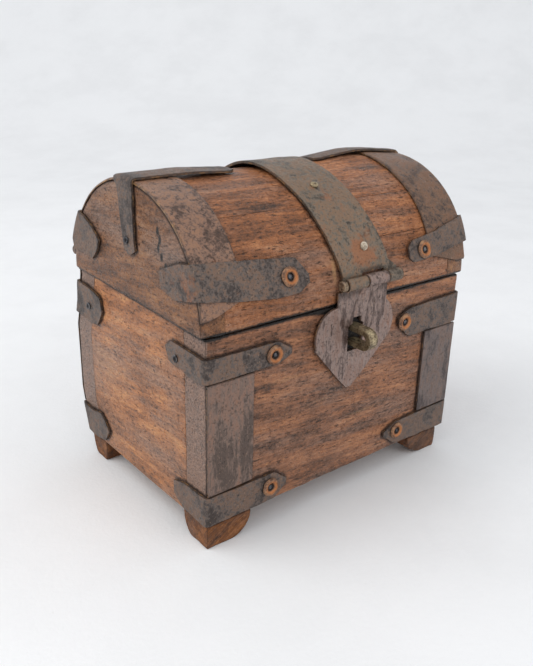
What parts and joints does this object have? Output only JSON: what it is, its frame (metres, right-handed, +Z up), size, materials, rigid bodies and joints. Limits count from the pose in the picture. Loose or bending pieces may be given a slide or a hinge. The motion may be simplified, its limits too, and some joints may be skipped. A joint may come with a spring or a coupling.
{
  "type": "wooden money box",
  "caption": "Small chest-shaped wooden money box with a domed hinged lid, sheet-iron straps, ring-headed nails, bracket feet and a front hasp that closes over a padlock staple.",
  "frame": {"origin": "middle of the overall footprint, on the plane the feet stand on", "axes": "+Z up, +X to the right along the front as seen from the front, +Y from the front to the back"},
  "size_m": [0.1418, 0.1086, 0.1331],
  "materials": {
    "stained_wood": "dark red-brown stained hardwood, worn",
    "end_wood": "orange-brown hardwood, upright grain, worn",
    "raw_wood": "bare orange-brown wood",
    "strap_iron": "dark brown-grey aged sheet iron with rust specks",
    "hasp_iron": "smooth purple-grey aged sheet iron",
    "copper_rings": "dull orange copper washers",
    "brass_fittings": "dull aged brass"
  },
  "bodies": {
    "box": {"back_left_bottom_strap": "strap_iron", "back_left_foot": "raw_wood", "back_left_hinge_strip": "strap_iron", "back_left_top_strap": "strap_iron", "back_panel": "stained_wood", "back_right_bottom_strap": "strap_iron", "back_right_foot": "raw_wood", "back_right_hinge_strip": "strap_iron", "back_right_top_strap": "strap_iron", "floor_board": "raw_wood", "front_left_bottom_ring": "copper_rings", "front_left_bottom_ring_nail": "strap_iron", "front_left_bottom_strap": "strap_iron", "front_left_foot": "raw_wood", "front_left_strip": "strap_iron", "front_left_top_ring": "copper_rings", "front_left_top_ring_nail": "strap_iron", "front_left_top_strap": "strap_iron", "front_panel": "stained_wood", "front_right_bottom_ring": "copper_rings", "front_right_bottom_ring_nail": "strap_iron", "front_right_bottom_strap": "strap_iron", "front_right_foot": "raw_wood", "front_right_strip": "strap_iron", "front_right_top_ring": "copper_rings", "front_right_top_ring_nail": "strap_iron", "front_right_top_strap": "strap_iron", "left_back_side_nail": "strap_iron", "left_end_panel": "end_wood", "left_front_side_nail": "strap_iron", "lid_hinge_left_pin": "strap_iron", "lid_hinge_right_pin": "strap_iron", "right_end_panel": "end_wood", "staple": "brass_fittings"},
    "lid": {"lid_back_left_strap": "strap_iron", "lid_back_rail": "stained_wood", "lid_back_right_strap": "strap_iron", "lid_back_stave": "stained_wood", "lid_front_left_ring": "copper_rings", "lid_front_left_ring_nail": "strap_iron", "lid_front_left_strap": "strap_iron", "lid_front_rail": "stained_wood", "lid_front_right_ring": "copper_rings", "lid_front_right_ring_nail": "strap_iron", "lid_front_right_strap": "strap_iron", "lid_front_stave": "stained_wood", "lid_left_band": "strap_iron", "lid_left_end": "end_wood", "lid_left_end_nail": "strap_iron", "lid_left_ridge_strap": "strap_iron", "lid_right_band": "strap_iron", "lid_right_end": "end_wood", "lid_right_end_nail": "strap_iron", "lid_right_ridge_strap": "strap_iron", "lid_top_stave": "stained_wood", "centre_strap": "strap_iron", "centre_top_nail": "brass_fittings", "centre_low_nail": "brass_fittings", "hasp_hinge_pin": "brass_fittings"},
    "hasp": {"hasp_plate": "hasp_iron"}
  },
  "joints": [
    {"name": "lid_hinge", "type": "hinge", "parent": "box", "child": "lid", "pos_m": [0, 0.05205, 0.0938], "axis": [-1, 0, 0], "range_deg": [0, 175]},
    {"name": "hasp_hinge", "type": "hinge", "parent": "lid", "child": "hasp", "pos_m": [0, -0.0448, 0.0923], "axis": [-1, 0, 0], "range_deg": [0, 160]}
  ]
}
